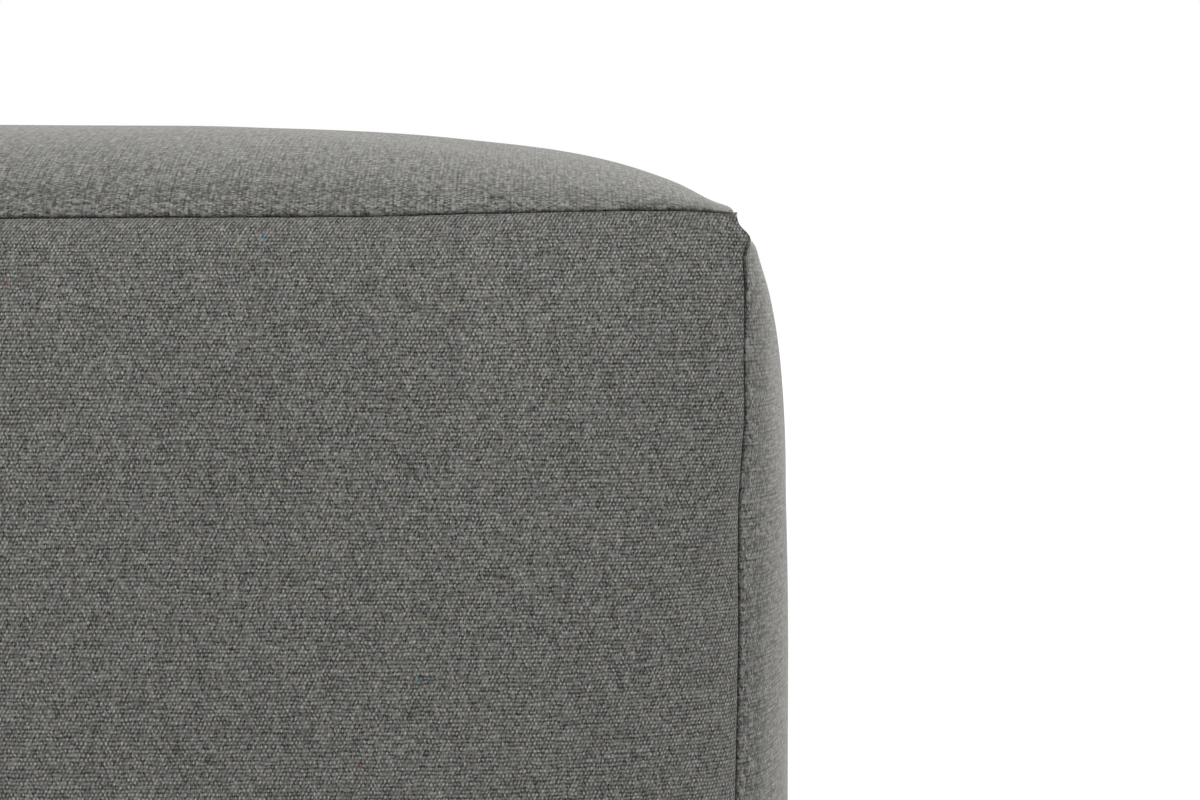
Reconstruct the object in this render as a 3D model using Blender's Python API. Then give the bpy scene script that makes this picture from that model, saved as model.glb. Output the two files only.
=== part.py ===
"""Cube pouf stool: six crowned canvas panels, sewn edge to edge round a full filling.

Each panel is one filled solid. Its outer face is the crowned cloth, and it reaches in to the
middle of the pouf as a pyramid, so the six of them fill the cube and meet along the seams.
"""
import math

import bmesh
import bpy

# Driving sizes, in metres
SEAM_HALF = 0.200       # middle of the pouf to the seams, as the panels were cut
SEAM_PULL = 0.0015      # how far a seam is drawn in halfway along its edge
CORNER_PULL = 0.0020    # how far a corner is drawn in, along each axis
CORNER_REACH = 0.016    # stretch of seam over which it draws in
BASE_PRESS = 0.008      # floor to the bottom seams, where the crown is pressed flat
SEAM_GAP = 0.0003       # clear space between two panels at their seam

# Shape and fineness of a panel
LIP_POWER = 0.64        # how steeply the cloth rises out of its seam
CELLS = 28              # squares across a panel, closer together near the seams
CREASE_ANGLE = 50       # degrees, where a panel is shaded as a sharp edge

# One row for each panel: name, tilt and turn in degrees, crown above the seams, flatness of it
PANELS = (
    ("panel_top", 0, 0, 0.023, 5.0),
    ("panel_front", 90, 0, 0.016, 6.8),
    ("panel_right", 90, 90, 0.016, 7.9),
    ("panel_back", 90, 180, 0.016, 6.8),
    ("panel_left", 90, 270, 0.016, 7.9),
    ("panel_bottom", 180, 0, 0.016, 6.8),
)

# Heathered grey canvas
CANVAS_COLOUR = (0.185, 0.182, 0.175, 1.0)
CANVAS_ROUGHNESS = 0.9

# Worked out from the driving sizes
CENTRE_HEIGHT = SEAM_HALF + BASE_PRESS      # floor to the middle of the pouf
PANEL_SHIFT = SEAM_GAP / math.sqrt(2)       # each panel stands out this far, which opens the gap


def crowded(step):
    """A grid place from -1 to 1, moved so that the lines lie closer near the seams."""
    return math.sin(step * math.pi / 2)


def corner_share(across, along):
    """1 at a panel's corner, fading smoothly to 0 where the corner's pull ends."""
    share = 1.0
    for place in (across, along):
        inside = 1.0 - (1.0 - abs(place)) * SEAM_HALF / CORNER_REACH
        inside = max(inside, 0.0)
        share *= inside * inside * (3.0 - 2.0 * inside)
    return share


def panel_point(across, along, crown, flatness):
    """Where a place of the flat panel (-1 to 1 both ways) lies on the filled pouf.

    The panel faces +Z here, and the middle of the pouf is at the origin.
    """
    belly_across = 1.0 - across ** 2
    belly_along = 1.0 - along ** 2
    drawn = SEAM_PULL * (belly_across + belly_along - belly_across * belly_along)
    pinch = CORNER_PULL * corner_share(across, along)
    x = across * (SEAM_HALF - SEAM_PULL * belly_along) - math.copysign(pinch, across)
    y = along * (SEAM_HALF - SEAM_PULL * belly_across) - math.copysign(pinch, along)

    rise_across = max(1.0 - abs(across) ** flatness, 0.0) ** LIP_POWER
    rise_along = max(1.0 - abs(along) ** flatness, 0.0) ** LIP_POWER
    z = SEAM_HALF - drawn - pinch + crown * rise_across * rise_along
    return x, y, z


def panel_mesh(name, crown, flatness, highest):
    """A filled panel facing +Z: a crowned grid whose rim runs in to the middle of the pouf."""
    cloth = bmesh.new()
    bmesh.ops.create_grid(cloth, x_segments=CELLS, y_segments=CELLS, size=1.0)
    for vert in cloth.verts:
        x, y, z = panel_point(crowded(vert.co.x), crowded(vert.co.y), crown, flatness)
        vert.co = (x, y, min(z, highest))

    rim = [edge for edge in cloth.edges if edge.is_boundary]
    walls = bmesh.ops.extrude_edge_only(cloth, edges=rim)
    inner = [item for item in walls["geom"] if isinstance(item, bmesh.types.BMVert)]
    bmesh.ops.pointmerge(cloth, verts=inner, merge_co=(0.0, 0.0, 0.0))
    bmesh.ops.recalc_face_normals(cloth, faces=cloth.faces)

    mesh = bpy.data.meshes.new(name)
    cloth.to_mesh(mesh)
    cloth.free()
    mesh.shade_smooth()
    mesh.set_sharp_from_angle(angle=math.radians(CREASE_ANGLE))
    return mesh


def canvas(name):
    """The cloth of one panel."""
    material = bpy.data.materials.new(name)
    material.use_nodes = True
    shader = material.node_tree.nodes["Principled BSDF"]
    shader.inputs["Base Color"].default_value = CANVAS_COLOUR
    shader.inputs["Roughness"].default_value = CANVAS_ROUGHNESS
    shader.inputs["Metallic"].default_value = 0.0
    material.diffuse_color = CANVAS_COLOUR
    return material


def add_panel(name, tilt, turn, crown, flatness, pouf, centre):
    """Put one panel in its place round the middle of the pouf."""
    floor_side = tilt == 180
    highest = CENTRE_HEIGHT - PANEL_SHIFT if floor_side else math.inf
    mesh = panel_mesh(name, crown, flatness, highest)
    mesh.materials.append(canvas(name + "_canvas"))

    panel = bpy.data.objects.new(name, mesh)
    pouf.objects.link(panel)
    panel.parent = centre
    panel.rotation_euler = (math.radians(tilt), 0.0, math.radians(turn))
    facing = panel.rotation_euler.to_matrix().col[2]
    panel.location = facing * PANEL_SHIFT
    return panel


def build():
    for old in list(bpy.data.objects):
        bpy.data.objects.remove(old, do_unlink=True)

    pouf = bpy.data.collections.new("cube_pouf_stool")
    bpy.context.scene.collection.children.link(pouf)
    centre = bpy.data.objects.new("pouf_centre", None)
    centre.location = (0.0, 0.0, CENTRE_HEIGHT)
    pouf.objects.link(centre)

    for name, tilt, turn, crown, flatness in PANELS:
        add_panel(name, tilt, turn, crown, flatness, pouf, centre)


build()
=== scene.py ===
# Cube pouf stool in heathered canvas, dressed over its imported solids
import math

import bpy
import numpy as np
from mathutils import Matrix, Vector


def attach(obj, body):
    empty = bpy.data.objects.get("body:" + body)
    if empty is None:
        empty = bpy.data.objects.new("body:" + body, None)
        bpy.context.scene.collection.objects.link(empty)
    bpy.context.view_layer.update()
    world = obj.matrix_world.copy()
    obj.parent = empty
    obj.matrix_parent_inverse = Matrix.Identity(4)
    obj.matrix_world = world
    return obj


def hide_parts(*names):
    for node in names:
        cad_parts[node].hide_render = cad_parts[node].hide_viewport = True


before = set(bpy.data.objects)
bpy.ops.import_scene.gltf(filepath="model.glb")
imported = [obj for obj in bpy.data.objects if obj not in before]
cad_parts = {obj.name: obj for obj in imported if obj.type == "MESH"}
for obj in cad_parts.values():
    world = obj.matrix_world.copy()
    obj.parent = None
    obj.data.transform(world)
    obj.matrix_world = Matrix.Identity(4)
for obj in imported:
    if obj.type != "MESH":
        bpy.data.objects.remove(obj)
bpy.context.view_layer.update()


def addObject(name, data):
    thing = bpy.data.objects.new(name, data)
    bpy.context.scene.collection.objects.link(thing)
    return thing


# The camera, at the photograph's angle to the pouf's upper right front corner
view = {
    "place": (0.1635, -0.5892, 0.3989),  # metres, in the pouf's own frame
    "turn": 1.4,  # degrees to the right of straight ahead
    "tilt": -3.8,  # degrees above the level
    "lens": 63.3,  # millimetres, on a sensor 36 wide
    "sensor": 36.0,
    "clip": (0.01, 50.0),  # metres, nothing nearer or farther is shown
}


def addCamera():
    data = bpy.data.cameras.new("camera")
    data.lens = view["lens"]
    data.sensor_width = view["sensor"]
    data.clip_start, data.clip_end = view["clip"]
    camera = addObject("camera", data)
    turn = math.radians(view["turn"])
    tilt = math.radians(view["tilt"])
    level = math.cos(tilt)
    ahead = Vector((math.sin(turn) * level, math.cos(turn) * level, math.sin(tilt)))
    camera.location = view["place"]
    camera.rotation_euler = ahead.to_track_quat("-Z", "Y").to_euler()
    bpy.context.scene.camera = camera


addCamera()
print("camera placed")


# The filled cover, in metres: the solids' own driving sizes, then what the cloth adds to them
cover = {
    "seamHalf": 0.200,  # middle of the pouf to the seams
    "seamPull": 0.0015,  # a seam is drawn in this much halfway along
    "basePress": 0.008,  # floor to the bottom seams
    "seamGap": 0.0003,  # clear space down in a seam
    "lipPower": 0.64,  # how steeply the cloth rises out of a seam
    "cornerReach": 0.0046,  # how far from a corner the cloth still draws in
    "rollReach": 0.00028,  # the turned edge of the cloth, across it
    "rollDepth": 0.0009,  # how far that edge dives into the seam
    "rollBulge": 1.05,  # how full it turns over on the way
    "rollRows": 10,  # faces across it
    "slit": 0.00022,  # open space down in the seam, more than the panels' own gap
    "tipReach": 0.0028,  # the seams get shallower this near to a corner
    "closeReach": 0.006,  # and the panels come together this near to it
    "closeLeast": 0.1,  # down to this share of their gap
    "cells": 180,  # squares across a panel between its turned edges
    "crowding": 0.85,  # 0 for even squares, 1 for the finest ones at the seams
    "sharp": 75,  # degrees: the cloth is shaded as one smooth face up to this much of a bend
    "fill": 0.95,  # full and tight
}

# Each panel: tilt and turn in degrees, crown in metres, and flatness of the crown
panels = {
    "panel_top": {"tilt": 0, "turn": 0, "crown": 0.023, "flatness": 5.0},
    "panel_front": {"tilt": 90, "turn": 0, "crown": 0.016, "flatness": 6.8},
    "panel_right": {"tilt": 90, "turn": 90, "crown": 0.016, "flatness": 7.9},
    "panel_back": {"tilt": 90, "turn": 180, "crown": 0.016, "flatness": 6.8},
    "panel_left": {"tilt": 90, "turn": 270, "crown": 0.016, "flatness": 7.9},
    "panel_bottom": {"tilt": 180, "turn": 0, "crown": 0.016, "flatness": 6.8},
}

# The cloth of each panel: whether its weft rows run away from the front, how clear they are and how
# slubbed it is in the strip beside the front seam, and how wide that strip is, in metres. Then its
# painted light and shade: a high fold keeps the painted shade down in the seam, rim is how much
# lighter (above 0) or darker (below 0) it is painted beside the seam, how many metres from it, and
# over how many, and borderLight is how much lighter it is painted a little further in
cuts = {
    "panel_top": {
        "turned": True,
        "clear": 0.15,
        "slubs": 0.85,
        "strip": 0.050,
        "fold": 3.5,
        "rim": (0.10, 0.00014, 0.00011),
        "borderLight": 0.035,
    },
    "panel_front": {
        "turned": False,
        "clear": 1.0,
        "slubs": 0.35,
        "strip": 0.0,
        "fold": 2.0,
        "rim": (-0.10, 0.0, 0.0007),
        "borderLight": 0.0,
    },
    "panel_right": {
        "turned": False,
        "clear": 0.30,
        "slubs": 1.15,
        "strip": 0.015,
        "fold": 2.5,
        "rim": (0.07, 0.00014, 0.00010),
        "borderLight": 0.04,
    },
    "panel_back": {
        "turned": False,
        "clear": 0.7,
        "slubs": 0.6,
        "strip": 0.0,
        "fold": 2.0,
        "rim": (-0.05, 0.0, 0.0007),
        "borderLight": 0.0,
    },
    "panel_left": {
        "turned": False,
        "clear": 0.35,
        "slubs": 0.9,
        "strip": 0.015,
        "fold": 3.0,
        "rim": (0.07, 0.00014, 0.00010),
        "borderLight": 0.03,
    },
    "panel_bottom": {
        "turned": True,
        "clear": 0.7,
        "slubs": 0.6,
        "strip": 0.0,
        "fold": 2.0,
        "rim": (0.0, 0.0, 0.0007),
        "borderLight": 0.0,
    },
}
# How the cloth of every panel changes near its seams and away from them, in metres and shares, with
# painted shade down in the seams, and painted light beside them and near the corners
seamLook = {
    "paintedShading": 0.60,  # painted shade: the tone that it loses down in the seams
    "cornerFade": 0.008,  # but not this near to a corner
    "cornerLight": 0.3,  # where it is painted lighter instead, by this share of that
    "borderPlace": 0.0015,  # from the seam
    "borderReach": 0.0010,
    "slubReach": 0.008,  # slubs show fully this far from a seam
    "slubLeast": 0.5,  # and by this share down in it
    "rowedReach": 0.005,  # rows show fully this far from the seams that they run along
    "rowedLeast": 0.3,  # and nearer give way to the leaning floats, down to this share
    "alikeReach": 0.070,  # past its strip beside the front seam a panel comes, over this distance,
    "alikeClear": 0.85,  # to rows as clear as this
    "alikeSlubs": 0.45,  # and to so many slubs
}

centreHeight = cover["seamHalf"] + cover["basePress"]
panelShift = cover["seamGap"] / math.sqrt(2)

# How far each corner is drawn in along x, y and z, in metres: no two are sewn quite alike
cornerPulls = {
    (1, -1, 1): (0.0, 0.0015, 0.0003),
    (-1, -1, 1): (0.0016, 0.0018, 0.0009),
    (1, 1, 1): (0.0017, 0.0012, 0.0011),
    (-1, 1, 1): (0.0013, 0.0019, 0.0006),
    (1, -1, -1): (0.0018, 0.0017, 0.0012),
    (-1, -1, -1): (0.0014, 0.0016, 0.0015),
    (1, 1, -1): (0.0019, 0.0013, 0.0014),
    (-1, 1, -1): (0.0015, 0.0018, 0.0011),
}

# Unevenness, in metres: how far the cloth strays, over what distance, and how near to a seam, or 0
# where it strays all over. Each starts at a place of its own in the random vectors
wander = {
    "sewing": {"stray": 0.00030, "size": 0.022, "near": 0.012, "start": 3.1},
    "puckers": {"stray": 0.00012, "size": 0.0055, "near": 0.005, "start": 11.7},
    "filling": {"stray": 0.00045, "size": 0.070, "near": 0, "start": 5.3},
}
# Places where the sewn cloth is tucked in or pushed out by hand: the middle of each, how far it
# reaches along x, y and z, and which way it moves the cloth, all in metres
strokes = {
    "tip": {"at": (0.200, -0.200, 0.4072), "reach": (0.006, 0.012, 0.0037), "push": (-0.0038, 0, 0)},
    "fold": {"at": (0.2015, -0.201, 0.4057), "reach": (0.008, 0.004, 0.0033), "push": (0.0045, -0.0003, 0)},
    "under_fold": {
        "at": (0.200, -0.200, 0.3998),
        "reach": (0.006, 0.005, 0.0022),
        "push": (-0.0002, 0.0003, 0),
    },
    "right_tuck": {"at": (0.206, -0.170, 0.4051), "reach": (0.020, 0.026, 0.0017), "push": (-0.0055, 0, 0)},
    "side_nip": {"at": (0.205, -0.150, 0.3992), "reach": (0.020, 0.050, 0.0040), "push": (-0.0005, 0, 0)},
    "side_shoulder": {"at": (0.212, -0.080, 0.386), "reach": (0.030, 0.100, 0.011), "push": (0.00062, 0, 0)},
    "side_belly": {"at": (0.216, -0.050, 0.345), "reach": (0.030, 0.150, 0.032), "push": (-0.0004, 0, 0)},
    "top_slack": {"at": (0.130, -0.100, 0.418), "reach": (0.030, 0.090, 0.030), "push": (0, 0, -0.0006)},
    "top_shoulder": {"at": (0.184, -0.120, 0.418), "reach": (0.020, 0.090, 0.030), "push": (0, 0, 0.0006)},
    "top_dip": {"at": (0.090, 0.000, 0.430), "reach": (0.060, 0.160, 0.030), "push": (0, 0, -0.0004)},
    "seam_drop": {"at": (0.090, -0.200, 0.408), "reach": (0.040, 0.008, 0.008), "push": (0, 0, -0.0002)},
    "seam_lift": {"at": (0.172, -0.200, 0.408), "reach": (0.026, 0.008, 0.008), "push": (0, 0, 0.0003)},
    "side_out": {"at": (0.200, -0.200, 0.370), "reach": (0.008, 0.008, 0.011), "push": (0.0008, 0, 0)},
    "tip_drop": {"at": (0.1948, -0.178, 0.4115), "reach": (0.0042, 0.020, 0.005), "push": (0, 0, -0.00052)},
    "tip_lift": {
        "at": (0.1989, -0.182, 0.4087),
        "reach": (0.0018, 0.020, 0.0035),
        "push": (0.00025, 0, 0.00022),
    },
    "side_low": {"at": (0.200, -0.200, 0.327), "reach": (0.008, 0.008, 0.016), "push": (0.0005, 0, 0)},
}
randomCells = 32
randomVectors = np.random.default_rng(11).uniform(-1, 1, (randomCells, randomCells, randomCells, 3))


def eased(share):
    # From 0 to 1 with a soft start and end
    return share * share * (3 - 2 * share)


def nearness(points, place, reach):
    # 1 at the place, falling to 0 past its reach
    return np.exp(-np.sum(((points - place) / reach) ** 2, axis=-1, keepdims=True))


def seamSpace(across, along):
    # Metres to the nearest seam
    return (1 - np.maximum(np.abs(across), np.abs(along))) * cover["seamHalf"]


def cornerSpace(across, along):
    # Metres along the nearest seam to its corner
    return (1 - np.minimum(np.abs(across), np.abs(along))) * cover["seamHalf"]


def crowded(steps, crowding):
    return (1 - crowding) * steps + crowding * np.sin(steps * math.pi / 2)


def panelSteps():
    # Places from -1 to 1 across a panel: the turned edges, and finer squares next to them
    edge = 1 - cover["rollReach"] / cover["seamHalf"]
    inner = edge * crowded(np.linspace(-1, 1, cover["cells"] + 1), cover["crowding"])
    outer = np.linspace(edge, 1, cover["rollRows"] + 1)[1:]
    return np.concatenate((-outer[::-1], inner, outer))


def crownRise(place, flatness):
    return np.maximum(1 - np.abs(place) ** flatness, 0) ** cover["lipPower"]


def crownedPoints(across, along, panel):
    # Where places of the flat panel (-1 to 1 both ways) lie, with the panel facing +Z
    half = cover["seamHalf"]
    pull = cover["seamPull"]
    bellyAcross = 1 - across**2
    bellyAlong = 1 - along**2
    drawn = pull * (bellyAcross + bellyAlong - bellyAcross * bellyAlong)
    x = across * (half - pull * bellyAlong)
    y = along * (half - pull * bellyAcross)
    rise = crownRise(across, panel["flatness"]) * crownRise(along, panel["flatness"])
    return np.stack((x, y, half - drawn + panel["crown"] * rise), axis=-1)


def turnEdges(points, axis):
    # The rows at both ends turn over and dive into the seam, square to the panels' own corner
    rows = cover["rollRows"]
    share = np.linspace(1, 0, rows + 1)[:rows, None, None]
    ends = np.clip((1 - np.abs(panelSteps())) * cover["seamHalf"] / cover["tipReach"], 0, 1)
    depth = cover["rollDepth"] * eased(ends)[:, None]
    for line in (points, points[::-1]):
        start = line[rows].copy()
        heading = start - line[rows + 1]
        heading /= np.linalg.norm(heading, axis=-1, keepdims=True)
        inward = np.zeros_like(start)
        inward[..., axis] = -np.sign(line[0, ..., axis])
        inward[..., 2] = -1
        inward /= math.sqrt(2)
        apart = inward * (1, 1, -1) * (depth / cover["rollDepth"]) * cover["slit"] / 2
        end = line[0] + inward * depth + apart
        pace = cover["rollBulge"] * np.linalg.norm(end - start, axis=-1, keepdims=True)
        line[:rows] = (
            start * (2 * share**3 - 3 * share**2 + 1)
            + heading * pace * (share**3 - 2 * share**2 + share)
            + end * (3 * share**2 - 2 * share**3)
            + inward * pace * (share**3 - share**2)
        )


def randomDrift(points, size, start):
    # Smooth random vectors that change over about that size
    place = points / size + start
    cell = np.floor(place).astype(int)
    part = eased(place - cell)
    total = np.zeros_like(points)
    for corner in np.ndindex(2, 2, 2):
        weight = np.prod(np.where(corner, part, 1 - part), axis=-1)
        number = (cell + corner) % randomCells
        total += weight[..., None] * randomVectors[number[..., 0], number[..., 1], number[..., 2]]
    return total


def unevenPoints(points, across, along):
    # Corners drawn in, strokes by hand and the cloth's own unevenness, alike on both sides of a seam
    middle = np.array((0, 0, centreHeight))
    sewn = points.copy()
    for corner, pull in cornerPulls.items():
        place = middle + np.array(corner) * cover["seamHalf"]
        sewn -= nearness(points, place, cover["cornerReach"]) * np.array(corner) * pull
    moves = np.zeros_like(sewn)
    for stroke in strokes.values():
        moves += nearness(sewn, stroke["at"], stroke["reach"]) * stroke["push"]
    for stray in wander.values():
        amount = stray["stray"]
        if stray["near"]:
            near = np.maximum(1 - seamSpace(across, along) / stray["near"], 0)
            amount = amount * near[..., None] ** 2
        moves += amount * randomDrift(sewn, stray["size"], stray["start"])
    # Where the pouf rests on the floor, the floor holds the cloth
    lifted = np.clip(sewn[..., 2:] / cover["basePress"], 0, 1)
    uneven = sewn + moves * lifted
    uneven[..., 2] = np.maximum(uneven[..., 2], 0)
    return uneven


def threadPlaces(points):
    # Length of cloth from the panel's middle line to every point, along the grid's first axis
    runs = np.linalg.norm(np.diff(points, axis=0), axis=-1)
    lengths = np.concatenate((np.zeros((1, points.shape[1])), np.cumsum(runs, axis=0)))
    return lengths - lengths[points.shape[0] // 2]


# The sewn cover, blown full: Blender's cloth simulation of a coarse copy gives the unevenness that
# the filling leaves in the panels
blown = {
    "cells": 56,  # squares across a panel of the coarse copy
    "decimals": 5,  # points of the copy that are alike this far, in metres, are one
    "lowered": 0.8,  # it starts with this share of its crown
    "slack": 0.012,  # its cloth is cut this much too big, as a share
    "ruffle": {"stray": 0.0004, "size": 0.02, "start": 2.3},  # of its starting shape, in metres
    "pressure": 4.0,
    "cloth": {  # Blender's own settings
        "quality": 5,
        "mass": 0.4,
        "tension_stiffness": 40,
        "compression_stiffness": 40,
        "shear_stiffness": 20,
        "bending_stiffness": 2,
    },
    "frames": 20,
    "cap": 0.008,  # the most that a point may move
    "broad": 0.16,  # waves wider than this share of half a panel belong to the crown, and go
    "clear": 0.007,  # the seams themselves stay as sewn, up to about this distance
    "share": 0.5,  # of the simulated waves, how much the taut cover keeps
    "soften": 1.2,  # coarse squares over which the fine panels even them out
}


def spread(places, knots, reach):
    # Rows of weights that carry values at the knots over to the places, smoothly
    weights = np.exp(-(((places[:, None] - knots[None, :]) / reach) ** 2))
    return weights / weights.sum(axis=1, keepdims=True)


def panelTurn(panel):
    tilt = Matrix.Rotation(math.radians(panel["tilt"]), 3, "X")
    turn = Matrix.Rotation(math.radians(panel["turn"]), 3, "Z")
    return np.array(turn @ tilt)


def gridSquares(wide):
    # The four points of every square in a grid that is so many points wide
    corner = (np.arange(wide - 1)[:, None] * wide + np.arange(wide - 1)[None, :]).ravel()
    return np.stack((corner, corner + wide, corner + wide + 1, corner + 1), axis=1)


def coarseCover():
    # Points of the coarse copy, then for each place of the panels' grids the number of its point,
    # and whether it is on a rim
    knots = np.linspace(-1, 1, blown["cells"] + 1)
    across, along = np.meshgrid(knots, knots, indexing="ij")
    grids = []
    for panel in panels.values():
        lowered = dict(panel, crown=panel["crown"] * blown["lowered"])
        grids.append(crownedPoints(across, along, lowered) @ panelTurn(panel).T)
    points = np.stack(grids).reshape(-1, 3)
    # Rims that meet become one, which sews the panels together
    rounded = np.round(points, blown["decimals"])
    first, number = np.unique(rounded, axis=0, return_index=True, return_inverse=True)[1:]
    edge = np.tile((np.maximum(np.abs(across), np.abs(along)) == 1).ravel(), len(panels))
    return points[first], number.ravel(), edge


def addBalloon(points, number, edge):
    # The coarse copy as cloth, held where it is sewn
    wide = blown["cells"] + 1
    squares = gridSquares(wide)
    faces = []
    for panelNo in range(len(panels)):
        faces.extend(number[squares + panelNo * wide * wide].tolist())
    # A metre away in the random vectors, so that the ruffles aren't the finished cover's
    ruffle = blown["ruffle"]
    start = points + ruffle["stray"] * randomDrift(points + 1, ruffle["size"], ruffle["start"])
    mesh = bpy.data.meshes.new("blown_cover")
    mesh.from_pydata(start.tolist(), [], faces)
    balloon = addObject("blown_cover", mesh)
    balloon.shape_key_add(name="start")
    cut = balloon.shape_key_add(name="cut")
    cut.data.foreach_set("co", (start * (1 + blown["slack"])).astype(np.float32).ravel())
    sewn = balloon.vertex_groups.new(name="sewn")
    sewn.add(np.unique(number[edge]).tolist(), 1.0, "REPLACE")
    settings = balloon.modifiers.new("blown", "CLOTH").settings
    for setting, value in blown["cloth"].items():
        setattr(settings, setting, value)
    settings.use_pressure = True
    settings.uniform_pressure_force = blown["pressure"]
    settings.effector_weights.gravity = 0
    settings.vertex_group_mass = "sewn"
    settings.rest_shape_key = cut
    return balloon


def blowCover():
    # How far each panel's coarse grid moves along its facing, in metres
    wide = blown["cells"] + 1
    points, number, edge = coarseCover()
    balloon = addBalloon(points, number, edge)
    scene = bpy.context.scene
    for frameNo in range(1, blown["frames"] + 1):
        scene.frame_set(frameNo)
    full = balloon.evaluated_get(bpy.context.evaluated_depsgraph_get()).to_mesh()
    ended = np.zeros(len(full.vertices) * 3)
    full.vertices.foreach_get("co", ended)
    moves = ended.reshape(-1, 3) - points
    mesh = balloon.data
    bpy.data.objects.remove(balloon, do_unlink=True)
    bpy.data.meshes.remove(mesh)
    scene.frame_set(1)

    far = np.linalg.norm(moves, axis=1, keepdims=True)
    moves = moves * np.minimum(1, blown["cap"] / np.maximum(far, 1e-9))
    print("cover blown: it moves", round(1000 * float(far.max()), 1), "mm at most")
    knots = np.linspace(-1, 1, wide)
    soft = spread(knots, knots, blown["broad"])
    grids = moves[number].reshape(len(panels), wide, wide, 3)
    waves = {}
    for grid, (name, panel) in zip(grids, panels.items()):
        lift = grid @ panelTurn(panel)[:, 2]
        waves[name] = lift - soft @ lift @ soft.T
    return waves


seamRims = {}


def noteRims(points, turn):
    # Keeps each of a panel's four rims under the two ways that its seam's panels face
    facing = np.round(turn[:, 2]).astype(int)
    for rim in (points[0], points[-1], points[:, 0], points[:, -1]):
        away = np.where(facing == 0, rim.mean(axis=0) - (0, 0, centreHeight), 0)
        neighbour = np.zeros(3, dtype=int)
        neighbour[np.abs(away).argmax()] = np.sign(away[np.abs(away).argmax()])
        seamRims.setdefault(frozenset((tuple(facing), tuple(neighbour))), []).append(rim)


def noteValues(mesh, label, values, inside):
    # A value for each place of the panel's grid, and the one inside, at the middle of the pouf
    note = mesh.attributes.new(name=label, type="FLOAT", domain="POINT")
    note.data.foreach_set("value", np.append(values, inside).astype(np.float32))


def panelPoints(name, across, along, waves):
    # Where the places of a panel's grid lie in the finished pouf
    panel = panels[name]
    points = crownedPoints(across, along, panel)
    knots = np.linspace(-1, 1, blown["cells"] + 1)
    finer = spread(across[:, 0], knots, blown["soften"] / blown["cells"] * 2)
    kept = blown["share"] * (1 - np.exp(-((seamSpace(across, along) / blown["clear"]) ** 2)))
    points[..., 2] += kept * (finer @ waves @ finer.T)
    turnEdges(points, 0)
    turnEdges(points.swapaxes(0, 1), 1)
    closeness = cornerSpace(across, along) / cover["closeReach"]
    points[..., 2] += panelShift * np.clip(closeness, cover["closeLeast"], 1)
    if name == "panel_bottom":
        points[..., 2] = np.minimum(points[..., 2], centreHeight)
    points = points @ panelTurn(panel).T + (0, 0, centreHeight)
    return unevenPoints(points, across, along)


def panelFaces(wide):
    # The crowned face, then the walls from its rim in to the middle of the pouf, the last point
    faces = gridSquares(wide).tolist()
    number = np.arange(wide * wide).reshape(wide, wide)
    rim = np.concatenate((number[:-1, 0], number[-1, :-1], number[:0:-1, -1], number[0, :0:-1]))
    for first, second in zip(rim, np.roll(rim, -1)):
        faces.append((int(second), int(first), wide * wide))
    return faces


def noteThreads(mesh, points, turned):
    # Thread places in metres: x counts warp threads, y counts weft rows
    places = np.stack((threadPlaces(points), threadPlaces(points.swapaxes(0, 1)).T), axis=-1)
    if turned:
        places = places[..., ::-1]
    places = np.vstack((places.reshape(-1, 2), (0, 0)))
    loops = np.zeros(len(mesh.loops), dtype=np.int32)
    mesh.loops.foreach_get("vertex_index", loops)
    threads = mesh.uv_layers.new(name="threads")
    threads.data.foreach_set("uv", places[loops].astype(np.float32).ravel())


def paintedSeamShading(cut, across, along):
    # Painted light and shade: how much lighter the cloth is painted than the rest of it, and down in the
    # seams how much darker
    space = seamSpace(across, along)
    light = seamLook["cornerLight"]
    fromCorner = cornerSpace(across, along) / seamLook["cornerFade"]
    tucked = np.clip(1 - space / cover["rollReach"], 0, 1) ** cut["fold"]
    tucked *= np.clip((1 + light) * fromCorner - light, -light, 1)
    amount, place, reach = cut["rim"]
    rim = amount * np.exp(-(((space - place) / reach) ** 2))
    fromBorder = (space - seamLook["borderPlace"]) / seamLook["borderReach"]
    return rim + cut["borderLight"] * np.exp(-(fromBorder**2)) - seamLook["paintedShading"] * tucked


def addPanel(name, waves):
    cut = cuts[name]
    steps = panelSteps()
    across, along = np.meshgrid(steps, steps, indexing="ij")
    points = panelPoints(name, across, along, waves)
    turn = panelTurn(panels[name])
    noteRims(points, turn)
    middle = np.array((0, 0, panelShift)) @ turn.T + (0, 0, centreHeight)
    mesh = bpy.data.meshes.new(name + "_cloth")
    corners = np.vstack((points.reshape(-1, 3), middle))
    mesh.from_pydata(corners.tolist(), [], panelFaces(len(steps)))
    mesh.update()
    mesh.polygons.foreach_set("use_smooth", [True] * len(mesh.polygons))
    mesh.set_sharp_from_angle(angle=math.radians(cover["sharp"]))
    noteThreads(mesh, points, cut["turned"])

    # Past its strip beside the front seam, the cloth of every panel comes to look alike
    fromFront = points[..., 1] + cover["seamHalf"]
    alike = eased(np.clip((fromFront - cut["strip"]) / seamLook["alikeReach"], 0, 1))
    clear = cut["clear"] + (seamLook["alikeClear"] - cut["clear"]) * alike
    slubs = cut["slubs"] + (seamLook["alikeSlubs"] - cut["slubs"]) * alike
    slubs *= np.clip(seamSpace(across, along) / seamLook["slubReach"], seamLook["slubLeast"], 1)
    fromSeam = (1 - np.abs(across if cut["turned"] else along)) * cover["seamHalf"]
    rowed = np.clip(fromSeam / seamLook["rowedReach"], seamLook["rowedLeast"], 1)
    # Painted light and shade beside the seams, and painted shade inside the pouf
    noteValues(mesh, "paintedShading", paintedSeamShading(cut, across, along), -seamLook["paintedShading"])
    noteValues(mesh, "clear", clear, 1)
    noteValues(mesh, "slubs", slubs, 0)
    noteValues(mesh, "rowed", rowed, 1)
    return addObject(name + "_cloth", mesh)


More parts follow.
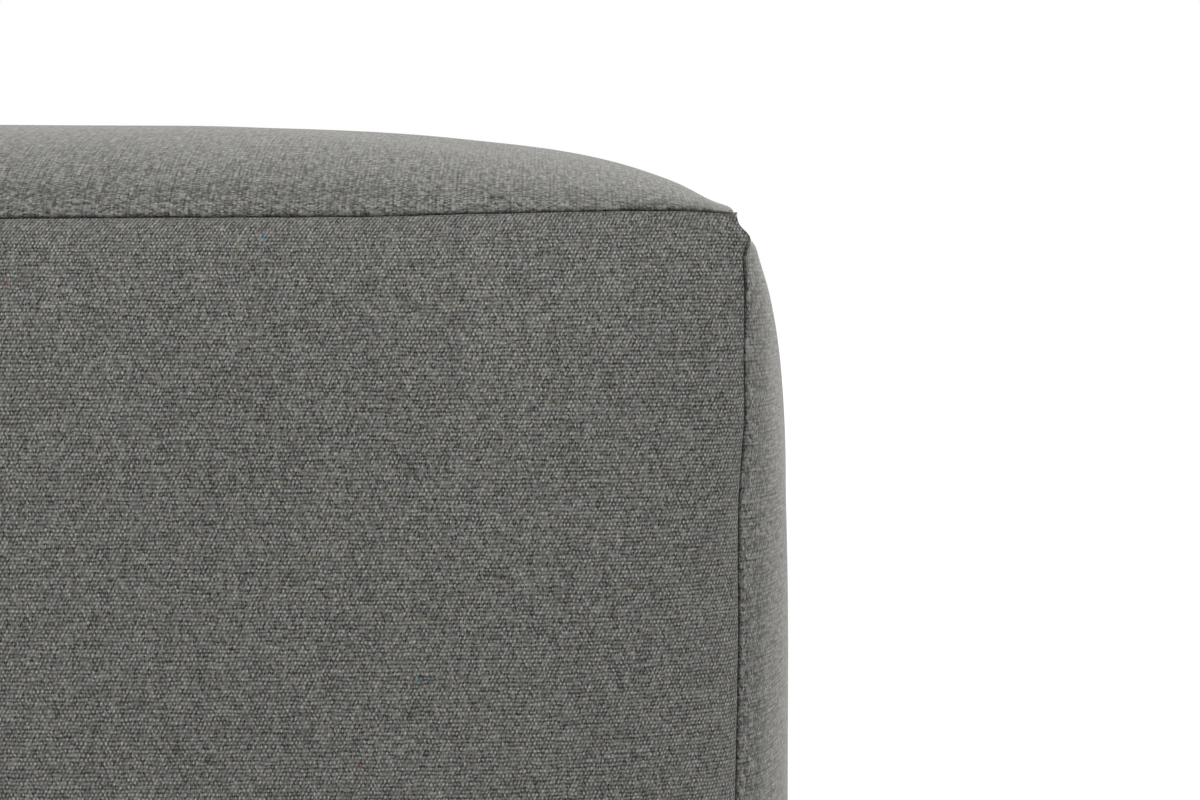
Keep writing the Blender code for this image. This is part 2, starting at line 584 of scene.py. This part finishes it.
# The canvas: plain weave of melange yarn, fine warp threads over twice as thick weft rows. Tones
# run from 0, black, to 1, the lightest yarn, in even steps to the eye, and lengths are in metres
canvas = {
    "warpPitch": 0.00036,  # from one warp thread to the next
    "rowPitch": 0.00072,  # from one weft row to the next
    "warpStray": (0.0005, 0.0002),  # how far the threads wander, broadly and finely
    "rowStray": (0.0007, 0.0003),
    "tone": 0.535,  # of the cloth as a whole
    "rows": 0.075,  # painted shade: how much darker the cloth is between its rows
    "packed": (0.2, 1.6),  # how little that can be, as a share, and how far it goes above that
    "leaning": 0.088,  # painted light and shade of the warp's floats, which lean with the twist of the yarn
    "leaningMore": 0.5,  # how much stronger they are where no row shows, as a share
    "upright": 0.052,  # and what sets them upright
    "floats": 0.22,  # tone from float to float
    "faintFloats": 0.10,  # and how much more of it where the rows aren't clear
    "yarn": 0.16,  # tone along each thread
    "streaks": 0.07,
    "clouds": 0.05,
    "hairs": 0.46,
    "pits": 0.64,  # painted shade where the threads leave a gap
    "pitRarity": 4.0,  # the higher, the fewer they are
    "slubTone": 0.14,  # a slub is dark where its pattern is above this, and the rest is lighter
    "slubEdge": 3.0,  # the higher, the sharper its ends
    "reddish": 0.24,
    "bluish": 0.36,
    "black": (0.003, 0.003, 0.003, 1),
    "lightest": (0.386, 0.382, 0.353, 1),
    "evenSteps": 2.2,  # the power that turns tones into light
    "roughness": 0.95,
    "specular": 0.25,
    "sheen": 0.27,
    "sheenRoughness": 0.45,
    "sheenTint": (1.0, 0.985, 0.93, 1),
    "threadHeight": 0.00012,  # how far a float stands up
    "bump": 0.5,
    "heights": {"weave": 2.8, "floats": 0.4, "hairs": 0.4, "slubs": 0.3},
}

# Patterns that the tones follow: how often each changes along the rows and along the warp, in a
# metre or, where it follows the number of a thread, in a thread; its layer of the noise; and how
# many finer patterns lie on it
patterns = {
    "warp_broad": {"changes": (260, 260), "layer": 0, "detail": 2},
    "warp_fine": {"changes": (900, 900), "layer": 0, "detail": 0},
    "row_broad": {"changes": (260, 260), "layer": 780, "detail": 2},
    "row_fine": {"changes": (900, 900), "layer": 2700, "detail": 0},
    "packing": {"changes": (1000, 3.7), "layer": 90, "detail": 0},
    "warp_yarn": {"changes": (3.7, 600), "layer": 0, "detail": 1},
    "row_yarn": {"changes": (900, 3.7), "layer": 50, "detail": 1},
    "hairs": {"changes": (3800, 3800), "layer": 34200, "detail": 1},
    "streaks": {"changes": (330, 14), "layer": 0, "detail": 3},
    "clouds": {"changes": (22, 22), "layer": 0, "detail": 3},
    "long_slubs": {"changes": (140, 1900), "layer": 61, "detail": 0},
    "short_slubs": {"changes": (450, 1900), "layer": 67, "detail": 0},
    "reddish": {"changes": (480, 480), "layer": 10080, "detail": 4},
    "bluish": {"changes": (620, 620), "layer": 20460, "detail": 4},
}

# Fibres in single places, and painted light and shade in a few: where each is, how far it reaches,
# both in metres, and what it does to the colour
flecksAndPaintedShading = {
    "blue": {"at": (0.1400, -0.2136, 0.3240), "reach": (0.0006, 0.002, 0.00055), "tint": (0.4, 0.92, 1.15)},
    "blue_tail": {"at": (0.1419, -0.2136, 0.3239), "reach": (0.001, 0.002, 0.0004), "tint": (0.9, 1.0, 1.25)},
    "bluish": {"at": (0.1301, -0.2122, 0.3670), "reach": (0.0005, 0.002, 0.0015), "tint": (0.82, 1.0, 1.12)},
    "red": {"at": (0.0659, -0.2069, 0.3947), "reach": (0.0006, 0.002, 0.0005), "tint": (1.45, 0.55, 0.6)},
    "white": {"at": (0.1709, -0.2109, 0.3214), "reach": (0.0005, 0.002, 0.0007), "tint": (1.6, 1.6, 1.6)},
    "dark": {"at": (0.1466, -0.2012, 0.4062), "reach": (0.0003, 0.002, 0.0005), "tint": (0.25, 0.25, 0.25)},
    "left_dash": {
        "at": (0.1531, -0.1971, 0.4105),
        "reach": (0.0007, 0.0012, 0.00045),
        "tint": (0.2, 0.2, 0.2),
    },
    "right_dash": {
        "at": (0.1548, -0.1973, 0.4104),
        "reach": (0.0008, 0.0012, 0.00045),
        "tint": (0.2, 0.2, 0.2),
    },
    # Painted highlight on the tip of the corner
    "painted_highlight_tip": {"at": (0.1984, -0.1989, 0.4074), "reach": (0.0008, 0.001, 0.0008), "tint": (2.2, 2.2, 2.2)},
    # Painted shadow on the top, beside its seam near the corner
    "painted_shadow_strip": {
        "at": (0.1850, -0.1972, 0.4082),
        "reach": (0.0160, 0.004, 0.0020),
        "tint": (0.65, 0.65, 0.65),
    },
    # Painted shadow down in the side seam
    "painted_seam_shadow": {
        "at": (0.1997, -0.1997, 0.395),
        "reach": (0.0007, 0.0007, 0.011),
        "tint": (0.45, 0.45, 0.45),
    },
}
# Stray fibres all over: how many there are in cells of so many threads and rows, how sharp the ends
# of a fibre or fleck are, and the kinds, each from its own share of them on
strayFibres = {
    "share": 0.0005,
    "threads": 3.0,
    "rows": 1.5,
    "edge": 3.0,
    "kinds": {
        "blue": {"from": 0.0, "tint": (0.55, 1.1, 1.4)},
        "white": {"from": 0.35, "tint": (1.5, 1.5, 1.5)},
        "dark": {"from": 0.55, "tint": (0.35, 0.35, 0.35)},
        "red": {"from": 0.85, "tint": (1.4, 0.6, 0.6)},
    },
}


class NodeTree:
    # Short ways of adding and joining shader nodes
    def __init__(self, tree):
        self.nodes = tree.nodes
        self.links = tree.links

    def feed(self, socket, value):
        if isinstance(value, bpy.types.NodeSocket):
            self.links.new(value, socket)
        else:
            socket.default_value = value

    def math(self, operation, first, second=0.0, clamp=False):
        node = self.nodes.new("ShaderNodeMath")
        node.operation = operation
        node.use_clamp = clamp
        self.feed(node.inputs[0], first)
        self.feed(node.inputs[1], second)
        return node.outputs[0]

    def wave(self, place, pace):
        return self.math("COSINE", self.math("MULTIPLY", place, pace))

    def centred(self, value):
        return self.math("SUBTRACT", value, 0.5)

    def between(self, place):
        # 0 on a thread, and 1 halfway to the next
        return self.total((self.wave(place, 2 * math.pi), -0.5), (1.0, 0.5))

    def total(self, *parts):
        # Sum of (value, weight) pairs
        added = self.math("MULTIPLY", *parts[0])
        for value, weight in parts[1:]:
            added = self.math("ADD", added, self.math("MULTIPLY", value, weight))
        return added

    def vector(self, x, y, z=0.0):
        node = self.nodes.new("ShaderNodeCombineXYZ")
        for socket, value in zip(node.inputs, (x, y, z)):
            self.feed(socket, value)
        return node.outputs[0]

    def attribute(self, label):
        node = self.nodes.new("ShaderNodeAttribute")
        node.attribute_name = label
        return node.outputs["Fac"]

    def vectorMath(self, operation, first, second=(0, 0, 0)):
        node = self.nodes.new("ShaderNodeVectorMath")
        node.operation = operation
        self.feed(node.inputs[0], first)
        self.feed(node.inputs[1], second)
        return node.outputs["Value" if operation == "LENGTH" else "Vector"]

    def noise(self, place, scale, detail):
        node = self.nodes.new("ShaderNodeTexNoise")
        node.noise_dimensions = "3D"
        self.feed(node.inputs["Vector"], place)
        node.inputs["Scale"].default_value = scale
        node.inputs["Detail"].default_value = detail
        return node.outputs["Fac"]

    def pattern(self, label, x, y):
        form = patterns[label]
        alongRows = self.math("MULTIPLY", x, form["changes"][0])
        alongWarp = self.math("MULTIPLY", y, form["changes"][1])
        place = self.vector(alongRows, alongWarp, form["layer"])
        return self.noise(place, 1.0, form["detail"])

    def strayed(self, label, x, y):
        # Broad and fine wandering of the threads
        broad, fine = canvas[label + "Stray"]
        return self.total(
            (self.centred(self.pattern(label + "_broad", x, y)), broad),
            (self.centred(self.pattern(label + "_fine", x, y)), fine),
        )

    def spot(self, away):
        # 1 in the middle, and 0 from a distance of 1 on
        far = self.math("POWER", self.vectorMath("LENGTH", away), strayFibres["edge"])
        return self.math("SUBTRACT", 1.0, far, clamp=True)

    def whiteNoise(self, place):
        node = self.nodes.new("ShaderNodeTexWhiteNoise")
        node.noise_dimensions = "3D"
        self.feed(node.inputs["Vector"], place)
        return node.outputs["Value"]

    def blend(self, share, first, second):
        # Mix keeps sockets for every kind of value, so they are found by place
        node = self.nodes.new("ShaderNodeMix")
        node.data_type = "FLOAT"
        self.feed(node.inputs[0], share)
        self.feed(node.inputs[2], first)
        self.feed(node.inputs[3], second)
        return node.outputs[0]

    def bump(self, shader, height, strength, distance):
        node = self.nodes.new("ShaderNodeBump")
        node.inputs["Strength"].default_value = strength
        node.inputs["Distance"].default_value = distance
        self.feed(node.inputs["Height"], height)
        self.feed(shader.inputs["Normal"], node.outputs[0])

    def blendColours(self, share, first, second, how="MIX"):
        node = self.nodes.new("ShaderNodeMix")
        node.data_type = "RGBA"
        node.blend_type = how
        self.feed(node.inputs[0], share)
        self.feed(node.inputs[6], first)
        self.feed(node.inputs[7], second)
        return node.outputs[2]


def canvasTone(tree, x, y):
    # Tone and height of the weave at a place of the cloth, in metres of warp and weft. The tone holds
    # painted shade of the weave's relief, and painted light and shade near the seams
    # Painted light and shade near the seams, noted on the mesh
    paintedShading = tree.attribute("paintedShading")
    clear = tree.attribute("clear")
    rowed = tree.attribute("rowed")

    # Threads wander a little from their straight line
    warpPlace = tree.math("DIVIDE", tree.math("ADD", x, tree.strayed("warp", x, y)), canvas["warpPitch"])
    rowPlace = tree.math("DIVIDE", tree.math("ADD", y, tree.strayed("row", y, x)), canvas["rowPitch"])
    warpNo = tree.math("ROUND", warpPlace)
    rowNo = tree.math("ROUND", rowPlace)

    # Plain weave: the warp is on top at every second crossing, and its floats lean. Its tone is painted
    # shade of that relief, darker between the rows and lighter on the floats
    least, above = canvas["packed"]
    packed = tree.total((tree.pattern("packing", x, rowNo), above), (1.0, least))
    rows = tree.math("MULTIPLY", tree.wave(rowPlace, 2 * math.pi), packed)
    leaning = tree.wave(tree.math("SUBTRACT", warpPlace, rowPlace), math.pi)
    upright = tree.wave(tree.math("ADD", warpPlace, rowPlace), math.pi)
    warpUp = tree.math("GREATER_THAN", tree.math("ADD", leaning, upright), 0.0)
    more = canvas["leaningMore"]
    stronger = tree.total((rowed, -more), (1.0, 1 + more))
    weave = tree.total(
        (tree.math("MULTIPLY", rows, rowed), canvas["rows"]),
        (tree.math("MULTIPLY", leaning, stronger), canvas["leaning"]),
        (tree.math("MULTIPLY", upright, rowed), canvas["upright"]),
    )
    weave = tree.math("MULTIPLY", weave, clear)

    # Melange: every thread changes tone along its length, and each float a little by itself
    yarn = tree.blend(warpUp, tree.pattern("row_yarn", x, rowNo), tree.pattern("warp_yarn", warpNo, y))
    floats = tree.whiteNoise(tree.vector(warpNo, rowNo))
    faintFloats = tree.math("MULTIPLY", tree.centred(floats), tree.math("SUBTRACT", 1.0, clear))
    hairs = tree.pattern("hairs", x, y)
    slubPattern = tree.total(
        (tree.pattern("long_slubs", x, y), 0.5), (tree.pattern("short_slubs", x, y), 0.5)
    )
    slubDepth = tree.math("SUBTRACT", canvas["slubTone"], tree.math("POWER", slubPattern, canvas["slubEdge"]))
    slubs = tree.math("MULTIPLY", slubDepth, tree.attribute("slubs"))

    # Painted shade in pits between the rows, where the threads leave a gap, on a layer of their own
    gapNo = tree.math("ROUND", tree.math("ADD", warpPlace, 0.5))
    deep = tree.whiteNoise(tree.vector(gapNo, tree.math("FLOOR", rowPlace), 7.0))
    between = tree.math("MULTIPLY", tree.between(rowPlace), tree.between(warpPlace))
    pits = tree.math("MULTIPLY", tree.math("POWER", deep, canvas["pitRarity"]), between)

    tone = tree.total(
        (weave, 1.0),
        (tree.centred(yarn), canvas["yarn"]),
        (tree.centred(floats), canvas["floats"]),
        (faintFloats, canvas["faintFloats"]),
        (tree.centred(hairs), canvas["hairs"]),
        (slubs, 1.0),
        (pits, -canvas["pits"]),
        (tree.centred(tree.pattern("streaks", x, y)), canvas["streaks"]),
        (tree.centred(tree.pattern("clouds", x, y)), canvas["clouds"]),
        # painted light and shade near the seams
        (paintedShading, 1.0),
    )
    heights = canvas["heights"]
    height = tree.total(
        (weave, heights["weave"]),
        (floats, heights["floats"]),
        (hairs, heights["hairs"]),
        (slubs, heights["slubs"]),
    )
    return tree.math("ADD", tone, canvas["tone"], clamp=True), height, warpPlace, rowPlace


def fibreTintsAndPaintedShading(tree, colour, warpPlace, rowPlace):
    # Here and there a stray fibre tints a few threads, and a few places have painted light and shade
    place = tree.nodes.new("ShaderNodeTexCoord").outputs["Object"]
    for fleck in flecksAndPaintedShading.values():
        away = tree.vectorMath("DIVIDE", tree.vectorMath("SUBTRACT", place, fleck["at"]), fleck["reach"])
        colour = tree.blendColours(tree.spot(away), colour, fleck["tint"] + (1,), "MULTIPLY")

    # The rest are by chance: each cell of the cloth draws whether it has one and of which kind, from
    # two layers of the noise
    cellX = tree.math("DIVIDE", warpPlace, strayFibres["threads"])
    cellY = tree.math("DIVIDE", rowPlace, strayFibres["rows"])
    inside = tree.vector(tree.centred(tree.math("FRACT", cellX)), tree.centred(tree.math("FRACT", cellY)))
    column = tree.math("FLOOR", cellX)
    line = tree.math("FLOOR", cellY)
    drawn = tree.whiteNoise(tree.vector(column, line, 5.0))
    kind = tree.whiteNoise(tree.vector(column, line, 8.0))
    fibre = (1, 1, 1, 1)
    for stray in strayFibres["kinds"].values():
        chosen = tree.math("GREATER_THAN", kind, stray["from"])
        fibre = tree.blendColours(chosen, fibre, stray["tint"] + (1,))
    lucky = tree.math("GREATER_THAN", drawn, 1 - strayFibres["share"])
    filled = tree.spot(tree.vectorMath("MULTIPLY", inside, (2, 2, 2)))
    return tree.blendColours(tree.math("MULTIPLY", filled, lucky), colour, fibre, "MULTIPLY")


def canvasMaterial():
    material = bpy.data.materials.new("heathered_canvas")
    material.use_nodes = True
    tree = NodeTree(material.node_tree)
    uv = tree.nodes.new("ShaderNodeUVMap")
    uv.uv_map = "threads"
    split = tree.nodes.new("ShaderNodeSeparateXYZ")
    tree.feed(split.inputs[0], uv.outputs[0])
    x, y = split.outputs[0], split.outputs[1]
    tone, height, warpPlace, rowPlace = canvasTone(tree, x, y)
    light = tree.math("POWER", tone, canvas["evenSteps"])
    grey = tree.blendColours(light, canvas["black"], canvas["lightest"])

    # The fibres aren't all one grey: some lean to red and some to blue
    reddish = tree.math("MULTIPLY", tree.centred(tree.pattern("reddish", x, y)), canvas["reddish"])
    bluish = tree.math("MULTIPLY", tree.centred(tree.pattern("bluish", x, y)), canvas["bluish"])
    tint = tree.vector(tree.math("ADD", 1.0, reddish), 1.0, tree.math("ADD", 1.0, bluish))
    colour = tree.blendColours(1.0, grey, tint, "MULTIPLY")

    shader = tree.nodes["Principled BSDF"]
    tree.feed(shader.inputs["Base Color"], fibreTintsAndPaintedShading(tree, colour, warpPlace, rowPlace))
    shader.inputs["Roughness"].default_value = canvas["roughness"]
    shader.inputs["Specular IOR Level"].default_value = canvas["specular"]
    shader.inputs["Sheen Weight"].default_value = canvas["sheen"]
    shader.inputs["Sheen Roughness"].default_value = canvas["sheenRoughness"]
    shader.inputs["Sheen Tint"].default_value = canvas["sheenTint"]
    tree.bump(shader, height, canvas["bump"], canvas["threadHeight"])
    return material


cloth = canvasMaterial()
waves = blowCover()
for name in panels:
    piece = addPanel(name, waves[name])
    piece.data.materials.append(cloth)
    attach(piece, "root")
    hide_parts(name)
print("panels made:", len(panels))


# The sewing: stitches down in the seams, which Geometry Nodes sets out along each of them
sewing = {
    "pitch": 0.0032,  # from one stitch to the next, in metres
    "length": 0.0027,
    "thickness": 0.00042,
    "lean": 11.0,  # degrees off the line of the seam
    "uneven": 0.15,  # how much the stitches differ
    "seed": 5,
    "clear": 0.007,  # none is this near to a corner
    "lifted": 0.00012,  # above the deepest place in the seam
    "stations": 160,  # points along each seam's line
    "sides": 8,  # of a stitch, which is a long bead
    "rings": 5,
    "colour": (0.035, 0.035, 0.034, 1),
    "between": 0.6,  # painted shade: how light it is between its plies, as a share
    "plies": 3000,  # changes in a metre
    "roughness": 0.6,
    "plyHeight": 0.00005,
    "bump": 0.4,
}


def seamLines():
    # A mesh of one open line a seam, with the way into the seam at each point
    reach = cover["seamHalf"] - sewing["clear"]
    stations = np.linspace(-reach, reach, sewing["stations"])
    points = []
    edges = []
    inward = []
    for facings, pair in seamRims.items():
        outward = np.sum([list(facing) for facing in facings], axis=0) / math.sqrt(2)
        along = int(np.abs(outward).argmin())
        line = np.zeros((len(stations), 3))
        for rim in pair:
            order = np.argsort(rim[:, along])
            places = stations + (centreHeight if along == 2 else 0)
            for axis in range(3):
                line[:, axis] += np.interp(places, rim[order, along], rim[order, axis]) / len(pair)
        first = len(points)
        points.extend(line + outward * sewing["lifted"])
        edges.extend((first + step, first + step + 1) for step in range(len(stations) - 1))
        inward.extend([-outward] * len(stations))
    mesh = bpy.data.meshes.new("seam_lines")
    mesh.from_pydata(np.array(points).tolist(), edges, [])
    way = mesh.attributes.new(name="inward", type="FLOAT_VECTOR", domain="POINT")
    way.data.foreach_set("vector", np.array(inward, dtype=np.float32).ravel())
    return mesh


def stitchNodes():
    group = bpy.data.node_groups.new("stitches", "GeometryNodeTree")
    sockets = group.interface
    sockets.new_socket("Seam lines", in_out="INPUT", socket_type="NodeSocketGeometry")
    for label in ("Pitch", "Length", "Thickness", "Lean", "Uneven"):
        sockets.new_socket(label, in_out="INPUT", socket_type="NodeSocketFloat")
    sockets.new_socket("Seed", in_out="INPUT", socket_type="NodeSocketInt")
    sockets.new_socket("Thread", in_out="INPUT", socket_type="NodeSocketMaterial")
    sockets.new_socket("Stitches", in_out="OUTPUT", socket_type="NodeSocketGeometry")

    def add(kind, *wires, **settings):
        node = group.nodes.new(kind)
        for setting, value in settings.items():
            setattr(node, setting, value)
        for socket, value in wires:
            if isinstance(value, bpy.types.NodeSocket):
                group.links.new(value, node.inputs[socket])
            else:
                node.inputs[socket].default_value = value
        return node

    given = add("NodeGroupInput").outputs
    lines = add("GeometryNodeMeshToCurve", ("Mesh", given["Seam lines"]))
    spaced = add(
        "GeometryNodeResampleCurve",
        ("Curve", lines.outputs[0]),
        ("Length", given["Pitch"]),
        mode="LENGTH",
    )
    tangent = add("GeometryNodeInputTangent")
    way = add("GeometryNodeInputNamedAttribute", ("Name", "inward"), data_type="FLOAT_VECTOR")
    straight = add(
        "FunctionNodeAlignRotationToVector", ("Vector", tangent.outputs[0]), axis="X"
    )
    facing = add(
        "FunctionNodeAlignRotationToVector",
        ("Rotation", straight.outputs[0]),
        ("Vector", way.outputs["Attribute"]),
        axis="Z",
        pivot_axis="X",
    )
    strayed = add("FunctionNodeRandomValue", ("Seed", given["Seed"]), data_type="FLOAT")
    # RandomValue keeps one set of sockets for every kind of value, so they are found by place
    strayed.inputs[2].default_value = -1.0
    strayed.inputs[3].default_value = 1.0
    shift = add("ShaderNodeMath", (0, strayed.outputs[1]), (1, given["Uneven"]), operation="MULTIPLY")
    size = add("ShaderNodeMath", (0, shift.outputs[0]), (1, 1.0), operation="ADD")
    lean = add("ShaderNodeMath", (0, given["Lean"]), (1, size.outputs[0]), operation="MULTIPLY")
    radians = add("ShaderNodeMath", (0, lean.outputs[0]), operation="RADIANS")
    turn = add("ShaderNodeCombineXYZ", ("Z", radians.outputs[0]))
    leaning = add(
        "FunctionNodeRotateRotation",
        ("Rotation", facing.outputs[0]),
        ("Rotate By", turn.outputs[0]),
        rotation_space="LOCAL",
    )
    long = add("ShaderNodeMath", (0, given["Length"]), (1, size.outputs[0]), operation="MULTIPLY")
    shape = add(
        "ShaderNodeCombineXYZ",
        ("X", long.outputs[0]),
        ("Y", given["Thickness"]),
        ("Z", given["Thickness"]),
    )
    # A bead one across, which its scale brings to a stitch's size
    bead = add(
        "GeometryNodeMeshUVSphere",
        ("Segments", sewing["sides"]),
        ("Rings", sewing["rings"]),
        ("Radius", 0.5),
    )
    upright = add(
        "GeometryNodeTransform", ("Geometry", bead.outputs["Mesh"]), ("Rotation", (0, math.pi / 2, 0))
    )
    placed = add(
        "GeometryNodeInstanceOnPoints",
        ("Points", spaced.outputs[0]),
        ("Instance", upright.outputs[0]),
        ("Rotation", leaning.outputs[0]),
        ("Scale", shape.outputs[0]),
    )
    real = add("GeometryNodeRealizeInstances", ("Geometry", placed.outputs[0]))
    smooth = add("GeometryNodeSetShadeSmooth", ("Geometry", real.outputs[0]))
    painted = add(
        "GeometryNodeSetMaterial", ("Geometry", smooth.outputs[0]), ("Material", given["Thread"])
    )
    add("NodeGroupOutput", ("Stitches", painted.outputs[0]))
    return group


def threadMaterial():
    material = bpy.data.materials.new("sewing_thread")
    material.use_nodes = True
    tree = NodeTree(material.node_tree)
    shader = tree.nodes["Principled BSDF"]
    place = tree.nodes.new("ShaderNodeTexCoord").outputs["Object"]
    plies = tree.noise(place, sewing["plies"], 1.0)
    # Painted shade between the plies
    dark = tuple(sewing["between"] * part for part in sewing["colour"][:3]) + (1,)
    tree.feed(shader.inputs["Base Color"], tree.blendColours(plies, dark, sewing["colour"]))
    shader.inputs["Roughness"].default_value = sewing["roughness"]
    tree.bump(shader, plies, sewing["bump"], sewing["plyHeight"])
    return material


def addStitches():
    stitches = addObject("seam_stitches", seamLines())
    thread = threadMaterial()
    group = stitchNodes()
    modifier = stitches.modifiers.new("stitches", "NODES")
    modifier.node_group = group
    labels = ("Pitch", "Length", "Thickness", "Lean", "Uneven", "Seed")
    values = {label: sewing[label.lower()] for label in labels}
    values["Thread"] = thread
    for socket in group.interface.items_tree:
        if socket.in_out == "INPUT" and socket.name in values:
            modifier[socket.identifier] = values[socket.name]
    # What the nodes set out becomes the mesh itself
    bpy.context.view_layer.update()
    finished = stitches.evaluated_get(bpy.context.evaluated_depsgraph_get())
    mesh = bpy.data.meshes.new_from_object(finished)
    mesh.materials.clear()
    mesh.materials.append(thread)
    mesh.polygons.foreach_set("material_index", [0] * len(mesh.polygons))
    stitches.modifiers.clear()
    stitches.data = mesh
    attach(stitches, "root")
    print("stitches made:", len(mesh.polygons), "faces")


addStitches()


# The studio: a pale floor, white surroundings, and soft lamps above and behind the pouf
studio = {
    "floorSize": 40.0,
    "floorColour": (0.92, 0.92, 0.92, 1),
    "floorRoughness": 0.9,
    "surround": 1.0,
}

# The lamp behind: which way its light comes from, its strength, and how wide it looks in degrees
backLamp = {"from": (0.0, 0.82, 0.57), "strength": 0.85, "width": 50}
# The softbox above, in metres and watts
softbox = {"place": (0.20, -0.42, 0.77), "aim": (0.1, -0.15, 0.35), "size": 0.4, "watts": 1.25}


def addSoftbox():
    data = bpy.data.lights.new("softbox", "AREA")
    data.shape = "SQUARE"
    data.size = softbox["size"]
    data.energy = softbox["watts"]
    lamp = addObject("softbox", data)
    lamp.location = softbox["place"]
    way = Vector(softbox["aim"]) - lamp.location
    lamp.rotation_euler = way.to_track_quat("-Z", "Y").to_euler()


def addBackLamp():
    data = bpy.data.lights.new("back_lamp", "SUN")
    data.energy = backLamp["strength"]
    data.angle = math.radians(backLamp["width"])
    lamp = addObject("back_lamp", data)
    lamp.rotation_euler = Vector(backLamp["from"]).to_track_quat("Z", "Y").to_euler()


def addStudio():
    bpy.ops.mesh.primitive_plane_add(size=studio["floorSize"])
    floor = bpy.context.object
    floor.name = "floor"
    paint = bpy.data.materials.new("pale_floor")
    paint.use_nodes = True
    shader = paint.node_tree.nodes["Principled BSDF"]
    shader.inputs["Base Color"].default_value = studio["floorColour"]
    shader.inputs["Roughness"].default_value = studio["floorRoughness"]
    floor.data.materials.append(paint)

    world = bpy.data.worlds.new("surround")
    world.use_nodes = True
    background = world.node_tree.nodes["Background"]
    background.inputs["Color"].default_value = (1, 1, 1, 1)
    background.inputs["Strength"].default_value = studio["surround"]
    bpy.context.scene.world = world

    addBackLamp()
    addSoftbox()
    bpy.context.scene.view_settings.view_transform = "Standard"


addStudio()
print("studio set")
